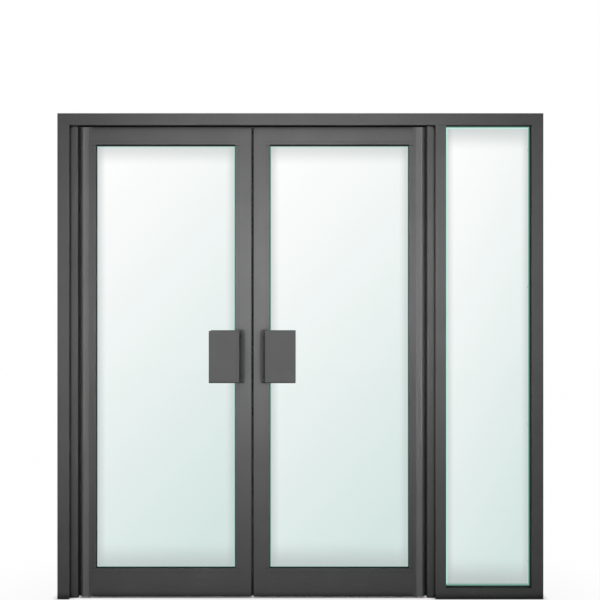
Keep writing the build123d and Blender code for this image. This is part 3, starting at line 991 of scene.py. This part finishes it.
def add_camera():
    """A level camera straight in front of the set."""
    data = bpy.data.cameras.new("camera")
    data.sensor_width = SENSOR_WIDTH
    data.lens = SENSOR_WIDTH * CAMERA_DISTANCE / VIEW_WIDTH
    camera = bpy.data.objects.new("camera", data)
    bpy.context.scene.collection.objects.link(camera)
    camera.location = (SET_WIDTH / 2 + CAMERA_SIDE, FRAME_FRONT - CAMERA_DISTANCE, CAMERA_HEIGHT)
    camera.rotation_euler = (math.radians(90), 0.0, 0.0)
    bpy.context.scene.camera = camera


def add_soft_light(name, place, aim, size, power, colour=WHITE[:3], spread=180.0):
    """A soft box placed from the set's middle and aimed at a point."""
    data = bpy.data.lights.new(name, "AREA")
    data.shape = "RECTANGLE"
    data.size, data.size_y = size
    data.energy = power
    data.color = colour
    data.spread = math.radians(spread)
    light = bpy.data.objects.new(name, data)
    bpy.context.scene.collection.objects.link(light)
    middle = Vector((SET_WIDTH / 2, 0.0, 0.0))
    light.location = middle + Vector(place)
    towards = Vector(aim) - Vector(place)
    light.rotation_euler = towards.to_track_quat("-Z", "Y").to_euler()
    return light


def add_lights():
    """Key, fills, back and top that the glass doesn't mirror, and a warm and a cool strip at the sides."""
    square = (KEY_SIZE, KEY_SIZE)
    unseen = [
        add_soft_light("key", KEY_PLACE, KEY_AIM, square, KEY_POWER, spread=KEY_SPREAD),
        add_soft_light("back", BACK_PLACE, BACK_AIM, square, BACK_POWER, spread=BACK_SPREAD),
        add_soft_light("top", TOP_PLACE, TOP_AIM, (TOP_SIZE, TOP_SIZE), TOP_POWER),
    ]
    for name, place, aim, power in FILLS:
        unseen.append(add_soft_light(name, place, aim, square, power, spread=KEY_SPREAD))
    for light in unseen:
        light.visible_glossy = False
        light.visible_transmission = False
    tall = (STRIP_WIDTH, STRIP_HEIGHT)
    aim = (0.0, 0.0, STRIP_AIM_HEIGHT)
    for name, sign, colour in (("left_strip", -1, WARM_LIGHT), ("right_strip", 1, COOL_LIGHT)):
        place = (sign * STRIP_PLACE[0], STRIP_PLACE[1], STRIP_PLACE[2])
        strip = add_soft_light(name, place, aim, tall, STRIP_POWER, colour)
        strip.visible_transmission = False


def shown_to_eye(tree):
    """One where a ray comes from the camera, a reflection or the glass."""
    light_path = add_node(tree, "ShaderNodeLightPath")
    shown = math_node(
        tree, "MAXIMUM", light_path.outputs["Is Camera Ray"], light_path.outputs["Is Glossy Ray"]
    )
    return math_node(tree, "MAXIMUM", shown, light_path.outputs["Is Transmission Ray"])


def add_world():
    """White to the eye, dimmer as a light."""
    world = bpy.data.worlds.new("studio")
    world.use_nodes = True
    bpy.context.scene.world = world
    tree = world.node_tree
    dim = tree.nodes["Background"]
    dim.inputs["Color"].default_value = WHITE
    dim.inputs["Strength"].default_value = AMBIENT
    white = add_node(tree, "ShaderNodeBackground", Color=WHITE, Strength=1.0)
    blend = add_node(tree, "ShaderNodeMixShader")
    tree.links.new(shown_to_eye(tree), blend.inputs[0])
    tree.links.new(dim.outputs[0], blend.inputs[1])
    tree.links.new(white.outputs[0], blend.inputs[2])
    tree.links.new(blend.outputs[0], tree.nodes["World Output"].inputs["Surface"])


def floor_share(tree):
    """How much of the floor shows as plain white: less near the set, and least where something stands on it."""
    across = add_node(tree, "ShaderNodeMapping", Scale=(2 / SET_WIDTH, 1.0, 1.0))
    tree.links.new(add_node(tree, "ShaderNodeTexCoord").outputs["Object"], across.inputs["Vector"])
    distance = add_node(tree, "ShaderNodeVectorMath", operation="LENGTH")
    tree.links.new(across.outputs["Vector"], distance.inputs[0])
    share = ramp_between(
        tree, distance.outputs["Value"], FLOOR_NEAR, FLOOR_FAR, FLOOR_SHOWN_NEAR, FLOOR_SHOWN_FAR
    )
    under = add_node(tree, "ShaderNodeAmbientOcclusion", Distance=CONTACT_REACH, samples=CORNER_SAMPLES)
    return math_node(tree, "MULTIPLY", share, under.outputs["AO"])


def add_floor():
    """A pale floor that keeps the set's shadow."""
    bpy.ops.object.select_all(action="DESELECT")
    bpy.ops.mesh.primitive_plane_add(size=FLOOR_SIZE, location=(SET_WIDTH / 2, 0.0, cad_box[0].z))
    floor = bpy.context.active_object
    floor.name = "floor"
    material, tree, shader = new_material("pale_floor")
    shader.inputs["Base Color"].default_value = FLOOR_COLOUR
    shader.inputs["Roughness"].default_value = FLOOR_ROUGHNESS
    shader.inputs["Specular IOR Level"].default_value = 0.0
    glow = add_node(tree, "ShaderNodeEmission", Strength=1.0)
    blend = add_node(tree, "ShaderNodeMixShader")
    shown = math_node(tree, "MULTIPLY", shown_to_eye(tree), floor_share(tree))
    tree.links.new(shown, blend.inputs[0])
    tree.links.new(shader.outputs[0], blend.inputs[1])
    tree.links.new(glow.outputs[0], blend.inputs[2])
    tree.links.new(blend.outputs[0], tree.nodes["Material Output"].inputs["Surface"])
    dress(floor, material)


add_camera()
add_world()
add_floor()
add_lights()
bpy.context.scene.view_settings.view_transform = "Standard"
